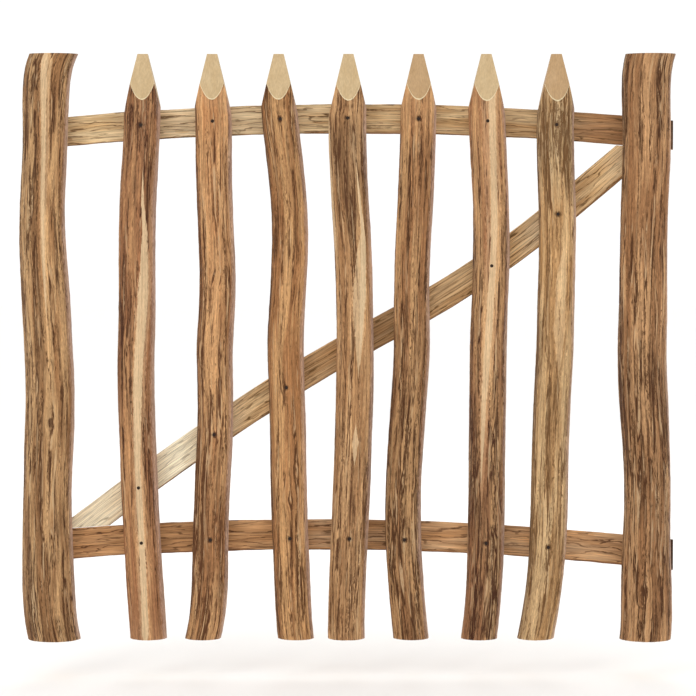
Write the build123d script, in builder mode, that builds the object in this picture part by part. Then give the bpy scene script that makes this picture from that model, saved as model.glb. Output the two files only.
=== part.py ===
from build123d import *
from math import asin, cos, degrees, radians, sin, sqrt, tan
import os

os.makedirs("parts", exist_ok=True)

# The origin lies on the face of the gatepost, behind the hinge axis, level with the seat of the lower eye.
# X runs along the shut leaf from its hinges to its latch, Y runs to the back, Z is up.

# Uprights
LEAF_HEIGHT = 900.0
HINGE_STILE_X = 25.0
LATCH_STILE_X = 942.0
FIRST_PICKET_X = 170.0
PICKET_PITCH = 105.8
PICKET_FLAT_DEPTH = 2.0
STILE_FLAT_DEPTH = 7.0

# Heights of the uprights' sections above the foot: every eighth, and one more near each end
END_LEVEL = 40.0
EIGHTHS = [LEAF_HEIGHT * eighth / 8 for eighth in range(1, 8)]
LEVELS = [0, END_LEVEL] + EIGHTHS + [LEAF_HEIGHT - END_LEVEL, LEAF_HEIGHT]

# Sideways sway of each upright from its straight line at those heights, foot to top
HINGE_STILE_SWAY = (6.5, 0, -3, -3, 0.5, -0.5, -6.5, -8.5, -4, -1, 10)
LATCH_STILE_SWAY = (2.5, 4.5, 4, 5, 0.5, -4, -3, -1.5, 1, 0, 6)
PICKET_SWAYS = (
    (6.5, 4, -0.5, -6, -10, -11, -9, -7.5, -1, -0.5, 1),
    (-15, -7.5, -3.5, -0.5, 5, 4, 9, 4.5, 3, 1.5, 1.5),
    (23, 19, 16, 12.5, 10.5, 7.5, 13, 12.5, 1, -3.5, -2.5),
    (-5, -4.5, -2, 3, 7, 8.5, 7, 1, -3, -2, -1.5),
    (-10.5, -14.5, -20.5, -22.5, -16.5, -9.5, -9.5, -4.5, -0.5, 0.5, 0),
    (-11, -6.5, -2, 0, 1, 2.5, 6, 5, -0.5, -2, -2),
    (-29.5, -22, -13, -8.5, -6, -1, 1.5, 1, -1.5, 0.5, -0.5),
)

# Thickness of the stiles at the same heights, and of each picket
HINGE_STILE_GIRTH = (80.5, 80.5, 79.5, 75.5, 75.5, 74, 73, 69, 69.5, 72.5, 75)
LATCH_STILE_GIRTH = (79, 78, 75.5, 72, 74, 75, 74, 72, 74, 75, 76.5)
PICKET_GIRTHS = (56.5, 55.5, 55.5, 57.5, 55.0, 56.5, 57.0)

# Four-sided points of the pickets
POINT_TOP = 15.5
POINT_SIDE_ANGLE = 13.3
POINT_FRONT_ANGLE = 15.4

# Split rails, each bowed upwards along one arc
RAIL_DEPTH = 25.0
RAIL_OVERHANG = 6.5
UPPER_RAIL_HEIGHT = 44.8
UPPER_CROWN_X = 492.0
UPPER_CROWN_HEIGHT = 801.8
UPPER_BOW_RADIUS = 4900.0
LOWER_RAIL_HEIGHT = 47.4
LOWER_CROWN_X = 429.0
LOWER_CROWN_HEIGHT = 157.3
LOWER_BOW_RADIUS = 4940.0

# Diagonal brace between the rails, with its sway across its own line at even distances
BRACE_HEIGHT = 45.5
BRACE_FOOT_INSET = 9.0
BRACE_HEAD_INSET = 3.0
BRACE_FOOT_TRIM = 8.0
BRACE_HEAD_TRIM = 2.0
BRACE_JOINT_GAP = 0.2
BRACE_SWAY = (2.5, 2, 2.5, -1.5, -12.5, -27.5, -32.5, -24.5, 2.5)
BRACE_NAILED_PICKETS = (0, 1, 2, 5, 6)

# Nails through the pickets
NAIL_RADIUS = 1.7
NAIL_HEAD_RADIUS = 2.6
NAIL_HEAD_THICKNESS = 1.6
NAIL_TIP_LENGTH = 5.0
NAIL_LENGTH = 70.0
NAIL_SINK = 1.0

# Screws through the straps, and through the rails into the latch stile
SCREW_RADIUS = 2.75
SCREW_HEAD_RADIUS = 5.5
SCREW_HEAD_HEIGHT = 3.8
SCREW_TIP_LENGTH = 6.0
SCREW_LENGTH = 42.0
SCREW_SEAT_DEPTH = 21.0
SCREW_SPACING = 26.0
SPOT_FACE_ROOM = 0.6

# Room around and past every nail and screw in the wood
FASTENER_ROOM = 0.1
FASTENER_END_ROOM = 0.5

# Hinge straps with rolled eyes
STRAP_THICKNESS = 4.0
STRAP_HEIGHT = 28.0
STRAP_SEAT_DEPTH = 20.0
STRAP_END_RADIUS = 12.0
STRAP_END_EDGE = 13.0
STRAP_SEAT_ROOM = 3.0
STRAP_FIRST_HOLE_X = 26.0
STRAP_HOLE_SPACING = 24.0
STRAP_LAST_HOLE_OFF_NAIL = 11.0
STRAP_HOLE_ROOM = 0.4
ROLL_GAP = 1.2
RAIL_EYE_ROOM = 2.0

# Post plates with bosses, and the pins that stand in them
PIN_RADIUS = 6.5
PIN_RUNNING_FIT = 0.1
PIN_PRESS_FIT = 0.02
PIN_SEAT_LENGTH = 20.0
PIN_END_ROOM = 6.0
PIN_END_CHAMFER = 2.0
LOWER_SHOULDER_GAP = 0.3
UPPER_SHOULDER_GAP = 1.0
PLATE_WIDTH = 27.0
PLATE_HEIGHT = 98.0
PLATE_THICKNESS = 4.0
PLATE_CORNER_RADIUS = 5.0
PLATE_HOLE_RADIUS = 3.25
PLATE_HOLE_SPACING_X = 13.5
PLATE_HOLE_SPACING_Z = 76.0
PLATE_EYE_ROOM = 1.9
BOSS_RADIUS = 10.0
BOSS_HEIGHT = 24.0
BOSS_WEB_WIDTH = 12.0

# Latch: a round bolt in two guides on a base plate, shown drawn back
LATCH_FROM_STILE = 98.0
LATCH_PLATE_LENGTH = 112.0
LATCH_PLATE_HEIGHT = 28.0
LATCH_PLATE_THICKNESS = 2.5
LATCH_PLATE_CORNER = 4.0
LATCH_SEAT_ROOM = 2.0
LATCH_SCREW_RADIUS = 2.0
LATCH_SCREW_HEAD_RADIUS = 3.4
LATCH_SCREW_HEAD_HEIGHT = 2.0
LATCH_SCREW_TIP_LENGTH = 4.0
LATCH_SCREW_LENGTH = 16.0
LATCH_SCREW_SPACING_X = 102.0
LATCH_SCREW_SPACING_Z = 18.0
BOLT_RADIUS = 6.0
BOLT_LENGTH = 142.0
BOLT_TIP_REACH = 3.0
BOLT_CHAMFER = 1.5
BOLT_GUIDE_ROOM = 0.3
BOLT_PLATE_ROOM = 3.0
GUIDE_WIDTH = 12.0
GUIDE_THICKNESS = 2.5
GUIDE_SPACING = 72.0
KNOB_RADIUS = 7.0
KNOB_LENGTH = 17.0
KNOB_FILLET = 3.0
KNOB_NECK = 4.0
KNOB_GUIDE_ROOM = 2.0
KNOB_STEM_RADIUS = 3.0
KNOB_STEM_DEPTH = 6.0
KNOB_STEM_FIT = 0.03

# Planes and lines that the pieces share
EYE_BORE = PIN_RADIUS + PIN_RUNNING_FIT
EYE_RADIUS = EYE_BORE + STRAP_THICKNESS
AXIS_Y = -(PLATE_THICKNESS + PLATE_EYE_ROOM + EYE_RADIUS)
SEAT_Y = AXIS_Y - EYE_RADIUS
STRAP_BACK_Y = SEAT_Y + STRAP_THICKNESS
RAIL_FACE_Y = SEAT_Y - STRAP_SEAT_DEPTH
RAIL_LEFT_X = EYE_RADIUS + RAIL_EYE_ROOM
RAIL_RIGHT_X = LATCH_STILE_X + max(LATCH_STILE_GIRTH) / 2 + RAIL_OVERHANG
STRAP_LAST_HOLE_X = FIRST_PICKET_X - STRAP_LAST_HOLE_OFF_NAIL
STRAP_END_X = STRAP_LAST_HOLE_X + STRAP_END_EDGE
LATCH_X = LATCH_STILE_X - LATCH_FROM_STILE
WOOD_REACH = 2 * max(HINGE_STILE_GIRTH + LATCH_STILE_GIRTH)


def arc_height(x, crown_x, crown_height, bow_radius):
    """Height of a bowed rail's middle line above the foot of the leaf."""
    return crown_height - bow_radius + sqrt(bow_radius**2 - (x - crown_x) ** 2)


STRAP_MIDDLE_X = (RAIL_LEFT_X + STRAP_END_X) / 2
LOWER_STRAP_HEIGHT = arc_height(STRAP_MIDDLE_X, LOWER_CROWN_X, LOWER_CROWN_HEIGHT, LOWER_BOW_RADIUS)
FOOT_Z = STRAP_HEIGHT / 2 - LOWER_STRAP_HEIGHT
TOP_Z = FOOT_Z + LEAF_HEIGHT


def upper_rail_z(x):
    return FOOT_Z + arc_height(x, UPPER_CROWN_X, UPPER_CROWN_HEIGHT, UPPER_BOW_RADIUS)


def lower_rail_z(x):
    return FOOT_Z + arc_height(x, LOWER_CROWN_X, LOWER_CROWN_HEIGHT, LOWER_BOW_RADIUS)


LOWER_STRAP_Z = lower_rail_z(STRAP_MIDDLE_X)
UPPER_STRAP_Z = upper_rail_z(STRAP_MIDDLE_X)
LATCH_Z = upper_rail_z(LATCH_X)
BRACE_FOOT_X = HINGE_STILE_X + BRACE_FOOT_INSET
BRACE_HEAD_X = LATCH_STILE_X - BRACE_HEAD_INSET
BRACE_FOOT = Vector(BRACE_FOOT_X, RAIL_FACE_Y, lower_rail_z(BRACE_FOOT_X))
BRACE_HEAD = Vector(BRACE_HEAD_X, RAIL_FACE_Y, upper_rail_z(BRACE_HEAD_X))
BRACE_LINE = BRACE_HEAD - BRACE_FOOT
BRACE_RUN = BRACE_LINE.normalized()
BRACE_ACROSS = Vector(-BRACE_RUN.Z, 0, BRACE_RUN.X)


BRACE_SHARES = [level / (len(BRACE_SWAY) - 1) for level in range(len(BRACE_SWAY))]


def between(places, values, place):
    """Value at a place on straight lines between values at given places."""
    first = min(sum(given < place for given in places[1:]), len(places) - 2)
    share = (place - places[first]) / (places[first + 1] - places[first])
    return values[first] + (values[first + 1] - values[first]) * share


def picket_x(index, z):
    return FIRST_PICKET_X + index * PICKET_PITCH + between(LEVELS, PICKET_SWAYS[index], z - FOOT_Z)


def brace_z(x):
    share = (x - BRACE_FOOT_X) / (BRACE_HEAD_X - BRACE_FOOT_X)
    return BRACE_FOOT.Z + share * BRACE_LINE.Z + between(BRACE_SHARES, BRACE_SWAY, share) / BRACE_RUN.X


def greatest_half_height(height):
    """Half the height of a split pole at its widest, just behind the face where it is more than half round."""
    section_radius = (height**2 / 4 + RAIL_DEPTH**2) / (2 * RAIL_DEPTH)
    return section_radius if RAIL_DEPTH > height / 2 else height / 2


def nail_heads(middle_z):
    """Front of each nail's head: on the picket's middle line, where it crosses a rail or the brace."""
    heads = []
    for index, girth in enumerate(PICKET_GIRTHS):
        line_x = FIRST_PICKET_X + index * PICKET_PITCH
        z = middle_z(picket_x(index, middle_z(line_x)))
        heads.append((picket_x(index, z), RAIL_FACE_Y + PICKET_FLAT_DEPTH - girth + NAIL_SINK, z))
    return heads


def nail_bores(heads):
    """Holes as x, z, radius, first y and last y: the sunk head's hole and the shank's."""
    bores = []
    for x, y, z in heads:
        bores.append((x, z, NAIL_HEAD_RADIUS + FASTENER_ROOM, y - WOOD_REACH, y + NAIL_HEAD_THICKNESS))
        bores.append((x, z, NAIL_RADIUS + FASTENER_ROOM, y, y + NAIL_LENGTH + FASTENER_END_ROOM))
    return bores


def screw_bores(seats, radius, length):
    """Holes for screws that go in from the back, from under the head to past the tip."""
    return [(x, z, radius + FASTENER_ROOM, y - length - FASTENER_END_ROOM, y) for x, y, z in seats]


UPPER_NAILS = nail_heads(upper_rail_z)
LOWER_NAILS = nail_heads(lower_rail_z)
BRACE_CROSSINGS = nail_heads(brace_z)
BRACE_NAILS = [BRACE_CROSSINGS[index] for index in BRACE_NAILED_PICKETS]
STRAP_HOLES_X = (STRAP_FIRST_HOLE_X, STRAP_FIRST_HOLE_X + STRAP_HOLE_SPACING, STRAP_LAST_HOLE_X)
UPPER_STRAP_SCREWS = [(x, STRAP_BACK_Y, UPPER_STRAP_Z) for x in STRAP_HOLES_X]
LOWER_STRAP_SCREWS = [(x, STRAP_BACK_Y, LOWER_STRAP_Z) for x in STRAP_HOLES_X]
STILE_SCREWS_X = (LATCH_STILE_X - SCREW_SPACING / 2, LATCH_STILE_X + SCREW_SPACING / 2)
STILE_SCREW_Y = RAIL_FACE_Y + SCREW_SEAT_DEPTH
UPPER_STILE_SCREWS = [(x, STILE_SCREW_Y, upper_rail_z(x)) for x in STILE_SCREWS_X]
LOWER_STILE_SCREWS = [(x, STILE_SCREW_Y, lower_rail_z(x)) for x in STILE_SCREWS_X]
LATCH_BACK_Y = SEAT_Y + LATCH_PLATE_THICKNESS
LATCH_SCREWS = [
    (LATCH_X + side * LATCH_SCREW_SPACING_X / 2, LATCH_BACK_Y, LATCH_Z + level * LATCH_SCREW_SPACING_Z / 2)
    for side in (-1, 1)
    for level in (-1, 1)
]
STRAP_BORES = screw_bores(UPPER_STRAP_SCREWS + LOWER_STRAP_SCREWS, SCREW_RADIUS, SCREW_LENGTH)
STILE_BORES = screw_bores(UPPER_STILE_SCREWS + LOWER_STILE_SCREWS, SCREW_RADIUS, SCREW_LENGTH)
LATCH_BORES = screw_bores(LATCH_SCREWS, LATCH_SCREW_RADIUS, LATCH_SCREW_LENGTH)
SPOT_FACES = [
    (x, z, SCREW_HEAD_RADIUS + SPOT_FACE_ROOM, y, y + RAIL_DEPTH)
    for x, y, z in UPPER_STILE_SCREWS + LOWER_STILE_SCREWS
]


def save(piece, name):
    piece.label = name
    export_step(piece, f"parts/{name}.step")


def upright(line_x, flat_depth, sway, girth, bores, pointed):
    """A pole through round sections, planed flat where the rails lie, with a sawn top or a cut point."""
    with BuildPart() as pole:
        for level, offset, width in zip(LEVELS, sway, girth):
            middle_y = RAIL_FACE_Y + flat_depth - width / 2
            with BuildSketch(Plane((line_x + offset, middle_y, FOOT_Z + level))):
                Circle(width / 2)
        loft()
        split(bisect_by=Plane((0, RAIL_FACE_Y, 0), z_dir=(0, 1, 0)), keep=Keep.BOTTOM)
        if pointed:
            top_x = line_x + sway[-1]
            top_y = RAIL_FACE_Y + flat_depth - girth[-1] / 2
            for out_x, out_y, angle in (
                (1, 0, POINT_SIDE_ANGLE),
                (-1, 0, POINT_SIDE_ANGLE),
                (0, 1, POINT_FRONT_ANGLE),
                (0, -1, POINT_FRONT_ANGLE),
            ):
                edge = (top_x + out_x * POINT_TOP / 2, top_y + out_y * POINT_TOP / 2, TOP_Z)
                facet = Plane(edge, z_dir=(out_x, out_y, tan(radians(angle))))
                split(bisect_by=facet, keep=Keep.BOTTOM)
        for x, z, radius, from_y, to_y in bores:
            with BuildSketch(Plane((x, from_y, z), x_dir=(1, 0, 0), z_dir=(0, 1, 0))):
                Circle(radius)
            extrude(amount=to_y - from_y, mode=Mode.SUBTRACT)
    return pole.part


def bowed_rail(height, crown_x, crown_height, bow_radius, seats, bores):
    """A split pole turned along its bow, with flats on its back for the fittings."""
    centre_z = FOOT_Z + crown_height - bow_radius
    turn = degrees(asin((RAIL_RIGHT_X - crown_x) / bow_radius) - asin((RAIL_LEFT_X - crown_x) / bow_radius))
    left_z = FOOT_Z + arc_height(RAIL_LEFT_X, crown_x, crown_height, bow_radius)
    along = (left_z - centre_z, 0, crown_x - RAIL_LEFT_X)
    with BuildPart() as rail:
        with BuildSketch(Plane((RAIL_LEFT_X, RAIL_FACE_Y, left_z), x_dir=(0, 1, 0), z_dir=along)):
            with BuildLine():
                Line((0, -height / 2), (0, height / 2))
                ThreePointArc((0, height / 2), (RAIL_DEPTH, 0), (0, -height / 2))
            make_face()
        revolve(axis=Axis((crown_x, RAIL_FACE_Y, centre_z), (0, 1, 0)), revolution_arc=turn)
        for from_x, to_x in seats:
            with BuildSketch(Plane(((from_x + to_x) / 2, SEAT_Y + RAIL_DEPTH / 2, FOOT_Z))):
                Rectangle(to_x - from_x, RAIL_DEPTH)
            extrude(amount=LEAF_HEIGHT, mode=Mode.SUBTRACT)
        for x, z, radius, from_y, to_y in bores:
            with BuildSketch(Plane((x, from_y, z), x_dir=(1, 0, 0), z_dir=(0, 1, 0))):
                Circle(radius)
            extrude(amount=to_y - from_y, mode=Mode.SUBTRACT)
    return rail.part


def nails(heads):
    """Nails with flat heads that go in from the front."""
    with BuildPart() as group:
        for head in heads:
            with BuildSketch(Plane(head)):
                with BuildLine():
                    Polyline(
                        (0, 0),
                        (NAIL_HEAD_RADIUS, 0),
                        (NAIL_HEAD_RADIUS, NAIL_HEAD_THICKNESS),
                        (NAIL_RADIUS, NAIL_HEAD_THICKNESS),
                        (NAIL_RADIUS, NAIL_LENGTH - NAIL_TIP_LENGTH),
                        (0, NAIL_LENGTH),
                        close=True,
                    )
                make_face()
            revolve(axis=Axis(head, (0, 1, 0)))
    return group.part


def screws(seats, radius, length, tip_length, head_radius, head_height):
    """Round-headed screws that go in from the back; a seat is the middle of the head's underside."""
    dome_radius = (head_radius**2 + head_height**2) / (2 * head_height)
    half_turn = asin(head_radius / dome_radius) / 2
    on_dome = (dome_radius * sin(half_turn), head_height - dome_radius * (1 - cos(half_turn)))
    with BuildPart() as group:
        for place in seats:
            with BuildSketch(Plane(place)):
                with BuildLine():
                    Polyline((0, head_height), (0, -length), (radius, tip_length - length), (radius, 0))
                    Line((radius, 0), (head_radius, 0))
                    ThreePointArc((head_radius, 0), on_dome, (0, head_height))
                make_face()
            revolve(axis=Axis(place, (0, 1, 0)))
    return group.part


def hinge_strap(strap_z):
    """A flat strap whose end is rolled round the pin."""
    with BuildPart() as strap:
        with BuildSketch(Plane((0, AXIS_Y, strap_z - STRAP_HEIGHT / 2))):
            Circle(EYE_RADIUS)
            with Locations((STRAP_END_X / 2, -EYE_RADIUS + STRAP_THICKNESS / 2)):
                Rectangle(STRAP_END_X, STRAP_THICKNESS)
            Circle(EYE_BORE, mode=Mode.SUBTRACT)
            with Locations((EYE_RADIUS / 2, -EYE_BORE + ROLL_GAP / 2)):
                Rectangle(EYE_RADIUS, ROLL_GAP, mode=Mode.SUBTRACT)
        extrude(amount=STRAP_HEIGHT)
        fillet(strap.edges().filter_by(Axis.Y).group_by(Axis.X)[-1], STRAP_END_RADIUS)
        for x in STRAP_HOLES_X:
            with BuildSketch(Plane((x, SEAT_Y, strap_z), x_dir=(1, 0, 0), z_dir=(0, 1, 0))):
                Circle(SCREW_RADIUS + STRAP_HOLE_ROOM)
            extrude(amount=STRAP_THICKNESS, mode=Mode.SUBTRACT)
    return strap.part


def pintle_plate(eye_end_z, away, shoulder_gap):
    """A post plate whose boss stands past the end of the eye; away is the side of the boss, up or down."""
    shoulder_z = eye_end_z + away * shoulder_gap
    with BuildPart() as plate:
        with BuildSketch(Plane((0, -PLATE_THICKNESS, eye_end_z), x_dir=(1, 0, 0), z_dir=(0, 1, 0))):
            RectangleRounded(PLATE_WIDTH, PLATE_HEIGHT, PLATE_CORNER_RADIUS)
            with GridLocations(PLATE_HOLE_SPACING_X, PLATE_HOLE_SPACING_Z, 2, 2):
                Circle(PLATE_HOLE_RADIUS, mode=Mode.SUBTRACT)
        extrude(amount=PLATE_THICKNESS)
        web_length = -AXIS_Y - PLATE_THICKNESS
        with BuildSketch(Plane((0, AXIS_Y, shoulder_z))):
            Circle(BOSS_RADIUS)
            with Locations((0, web_length / 2)):
                Rectangle(BOSS_WEB_WIDTH, web_length)
        extrude(amount=away * BOSS_HEIGHT)
        with BuildSketch(Plane((0, AXIS_Y, shoulder_z))):
            Circle(PIN_RADIUS + PIN_PRESS_FIT)
        extrude(amount=away * PIN_SEAT_LENGTH, mode=Mode.SUBTRACT)
    return plate.part


def pintle_pin(eye_end_z, away, shoulder_gap):
    """The pin that is pressed into a boss and goes through the eye."""
    seat_z = eye_end_z + away * (shoulder_gap + PIN_SEAT_LENGTH)
    length = PIN_SEAT_LENGTH + shoulder_gap + STRAP_HEIGHT + PIN_END_ROOM
    with BuildPart() as pin:
        with BuildSketch(Plane((0, AXIS_Y, seat_z))):
            Circle(PIN_RADIUS)
        extrude(amount=-away * length)
        free_end = pin.faces().sort_by(Axis.Z)[-1 if away < 0 else 0]
        chamfer(free_end.edges(), PIN_END_CHAMFER)
    return pin.part


# Stiles
hinge_stile = upright(
    HINGE_STILE_X, STILE_FLAT_DEPTH, HINGE_STILE_SWAY, HINGE_STILE_GIRTH, STRAP_BORES, pointed=False
)
save(hinge_stile, "hinge_stile")
latch_stile = upright(
    LATCH_STILE_X, STILE_FLAT_DEPTH, LATCH_STILE_SWAY, LATCH_STILE_GIRTH, STILE_BORES, pointed=False
)
save(latch_stile, "latch_stile")

# Pickets
for index, (sway, girth) in enumerate(zip(PICKET_SWAYS, PICKET_GIRTHS)):
    own_nails = [UPPER_NAILS[index], LOWER_NAILS[index]]
    if index in BRACE_NAILED_PICKETS:
        own_nails.append(BRACE_CROSSINGS[index])
    own_bores = nail_bores(own_nails) + (STRAP_BORES if index == 0 else [])
    line_x = FIRST_PICKET_X + index * PICKET_PITCH
    picket = upright(line_x, PICKET_FLAT_DEPTH, sway, [girth] * len(sway), own_bores, pointed=True)
    save(picket, f"picket_{index + 1}")

# Rails
STRAP_SEAT = (RAIL_LEFT_X - STRAP_SEAT_ROOM, STRAP_END_X + STRAP_SEAT_ROOM)
LATCH_SEAT_REACH = LATCH_PLATE_LENGTH / 2 + LATCH_SEAT_ROOM
LATCH_SEAT = (LATCH_X - LATCH_SEAT_REACH, LATCH_X + LATCH_SEAT_REACH)
RAIL_BORES = STRAP_BORES + STILE_BORES + SPOT_FACES
UPPER_BORES = RAIL_BORES + nail_bores(UPPER_NAILS) + LATCH_BORES
LOWER_BORES = RAIL_BORES + nail_bores(LOWER_NAILS)
UPPER_BOW = (UPPER_RAIL_HEIGHT, UPPER_CROWN_X, UPPER_CROWN_HEIGHT, UPPER_BOW_RADIUS)
LOWER_BOW = (LOWER_RAIL_HEIGHT, LOWER_CROWN_X, LOWER_CROWN_HEIGHT, LOWER_BOW_RADIUS)
save(bowed_rail(*UPPER_BOW, [STRAP_SEAT, LATCH_SEAT], UPPER_BORES), "upper_rail")
save(bowed_rail(*LOWER_BOW, [STRAP_SEAT], LOWER_BORES), "lower_rail")

# Brace, cut to stand on the lower rail and to meet the upper rail
with BuildPart() as brace:
    for share, offset in zip(BRACE_SHARES, BRACE_SWAY):
        middle = BRACE_FOOT + BRACE_LINE * share + BRACE_ACROSS * offset
        with BuildSketch(Plane(middle, x_dir=(0, 1, 0), z_dir=BRACE_RUN)):
            with BuildLine():
                Line((0, -BRACE_HEIGHT / 2), (0, BRACE_HEIGHT / 2))
                ThreePointArc((0, BRACE_HEIGHT / 2), (RAIL_DEPTH, 0), (0, -BRACE_HEIGHT / 2))
            make_face()
    loft()
    split(bisect_by=Plane((BRACE_FOOT_X + BRACE_FOOT_TRIM, 0, 0), z_dir=(1, 0, 0)), keep=Keep.TOP)
    split(bisect_by=Plane((BRACE_HEAD_X - BRACE_HEAD_TRIM, 0, 0), z_dir=(1, 0, 0)), keep=Keep.BOTTOM)
    lower_centre = (LOWER_CROWN_X, RAIL_FACE_Y, FOOT_Z + LOWER_CROWN_HEIGHT - LOWER_BOW_RADIUS)
    with BuildSketch(Plane(lower_centre, x_dir=(1, 0, 0), z_dir=(0, 1, 0))):
        Circle(LOWER_BOW_RADIUS + greatest_half_height(LOWER_RAIL_HEIGHT) + BRACE_JOINT_GAP)
    extrude(amount=2 * RAIL_DEPTH, both=True, mode=Mode.SUBTRACT)
    upper_centre = (UPPER_CROWN_X, RAIL_FACE_Y, FOOT_Z + UPPER_CROWN_HEIGHT - UPPER_BOW_RADIUS)
    with BuildSketch(Plane(upper_centre, x_dir=(1, 0, 0), z_dir=(0, 1, 0))):
        Circle(UPPER_BOW_RADIUS - greatest_half_height(UPPER_RAIL_HEIGHT) - BRACE_JOINT_GAP)
    extrude(amount=2 * RAIL_DEPTH, both=True, mode=Mode.INTERSECT)
    for x, z, radius, from_y, to_y in nail_bores(BRACE_NAILS):
        with BuildSketch(Plane((x, from_y, z), x_dir=(1, 0, 0), z_dir=(0, 1, 0))):
            Circle(radius)
        extrude(amount=to_y - from_y, mode=Mode.SUBTRACT)
save(brace.part, "brace")

# Nails and screws of the leaf
save(nails(UPPER_NAILS), "upper_rail_nails")
save(nails(LOWER_NAILS), "lower_rail_nails")
save(nails(BRACE_NAILS), "brace_nails")
LEAF_SCREW = (SCREW_RADIUS, SCREW_LENGTH, SCREW_TIP_LENGTH, SCREW_HEAD_RADIUS, SCREW_HEAD_HEIGHT)
save(screws(UPPER_STILE_SCREWS + LOWER_STILE_SCREWS, *LEAF_SCREW), "stile_screws")
save(screws(UPPER_STRAP_SCREWS + LOWER_STRAP_SCREWS, *LEAF_SCREW), "hinge_strap_screws")

# Hinges: the lower pin points up, and the upper pin points down so that the leaf can't be lifted off
LOWER_EYE_END_Z = LOWER_STRAP_Z - STRAP_HEIGHT / 2
UPPER_EYE_END_Z = UPPER_STRAP_Z + STRAP_HEIGHT / 2
save(hinge_strap(UPPER_STRAP_Z), "upper_hinge_strap")
save(hinge_strap(LOWER_STRAP_Z), "lower_hinge_strap")
save(pintle_plate(UPPER_EYE_END_Z, 1, UPPER_SHOULDER_GAP), "upper_pintle_plate")
save(pintle_plate(LOWER_EYE_END_Z, -1, LOWER_SHOULDER_GAP), "lower_pintle_plate")
save(pintle_pin(UPPER_EYE_END_Z, 1, UPPER_SHOULDER_GAP), "upper_pintle_pin")
save(pintle_pin(LOWER_EYE_END_Z, -1, LOWER_SHOULDER_GAP), "lower_pintle_pin")

# Latch
BOLT_Y = LATCH_BACK_Y + BOLT_PLATE_ROOM + BOLT_RADIUS
BOLT_LEFT_X = LATCH_X + LATCH_PLATE_LENGTH / 2 + BOLT_TIP_REACH - BOLT_LENGTH
KNOB_X = LATCH_X - GUIDE_SPACING / 2 + GUIDE_WIDTH / 2 + KNOB_GUIDE_ROOM + KNOB_RADIUS
GUIDE_BORE = BOLT_RADIUS + BOLT_GUIDE_ROOM
GUIDE_RADIUS = GUIDE_BORE + GUIDE_THICKNESS

with BuildPart() as latch_plate:
    with BuildSketch(Plane((LATCH_X, SEAT_Y, LATCH_Z), x_dir=(1, 0, 0), z_dir=(0, 1, 0))):
        RectangleRounded(LATCH_PLATE_LENGTH, LATCH_PLATE_HEIGHT, LATCH_PLATE_CORNER)
        with GridLocations(LATCH_SCREW_SPACING_X, LATCH_SCREW_SPACING_Z, 2, 2):
            Circle(LATCH_SCREW_RADIUS + FASTENER_ROOM, mode=Mode.SUBTRACT)
    extrude(amount=LATCH_PLATE_THICKNESS)
save(latch_plate.part, "latch_plate")

with BuildPart() as latch_guides:
    for side in (-1, 1):
        guide_x = LATCH_X + side * GUIDE_SPACING / 2 - GUIDE_WIDTH / 2
        with BuildSketch(Plane((guide_x, BOLT_Y, LATCH_Z), x_dir=(0, 1, 0), z_dir=(1, 0, 0))):
            leg = BOLT_Y - LATCH_BACK_Y
            Circle(GUIDE_RADIUS)
            with Locations((-leg / 2, 0)):
                Rectangle(leg, 2 * GUIDE_RADIUS)
            with Locations((-leg - GUIDE_RADIUS / 2, 0)):
                Rectangle(GUIDE_RADIUS, 2 * GUIDE_RADIUS, mode=Mode.SUBTRACT)
            Circle(GUIDE_BORE, mode=Mode.SUBTRACT)
            with Locations((-leg / 2, 0)):
                Rectangle(leg, 2 * GUIDE_BORE, mode=Mode.SUBTRACT)
        extrude(amount=GUIDE_WIDTH)
save(latch_guides.part, "latch_guides")

with BuildPart() as latch_bolt:
    with BuildSketch(Plane((BOLT_LEFT_X, BOLT_Y, LATCH_Z), x_dir=(0, 1, 0), z_dir=(1, 0, 0))):
        Circle(BOLT_RADIUS)
    extrude(amount=BOLT_LENGTH)
    chamfer(latch_bolt.edges().filter_by(GeomType.CIRCLE), BOLT_CHAMFER)
    stem_y = BOLT_Y + BOLT_RADIUS - KNOB_STEM_DEPTH
    with BuildSketch(Plane((KNOB_X, stem_y, LATCH_Z), x_dir=(1, 0, 0), z_dir=(0, 1, 0))):
        Circle(KNOB_STEM_RADIUS + KNOB_STEM_FIT)
    extrude(amount=BOLT_RADIUS + KNOB_STEM_DEPTH, mode=Mode.SUBTRACT)
save(latch_bolt.part, "latch_bolt")

with BuildPart() as latch_knob:
    with BuildSketch(Plane((KNOB_X, stem_y, LATCH_Z), x_dir=(1, 0, 0), z_dir=(0, 1, 0))):
        Circle(KNOB_STEM_RADIUS)
    extrude(amount=KNOB_STEM_DEPTH + KNOB_NECK)
    neck_y = stem_y + KNOB_STEM_DEPTH + KNOB_NECK
    with BuildSketch(Plane((KNOB_X, neck_y, LATCH_Z), x_dir=(1, 0, 0), z_dir=(0, 1, 0))):
        Circle(KNOB_RADIUS)
    extrude(amount=KNOB_LENGTH)
    fillet(latch_knob.faces().sort_by(Axis.Y)[-1].edges(), KNOB_FILLET)
save(latch_knob.part, "latch_knob")

LATCH_SCREW = (
    LATCH_SCREW_RADIUS,
    LATCH_SCREW_LENGTH,
    LATCH_SCREW_TIP_LENGTH,
    LATCH_SCREW_HEAD_RADIUS,
    LATCH_SCREW_HEAD_HEIGHT,
)
save(screws(LATCH_SCREWS, *LATCH_SCREW), "latch_screws")
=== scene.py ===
import math

import bmesh
import bpy
import numpy as np
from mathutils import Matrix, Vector, noise


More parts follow.
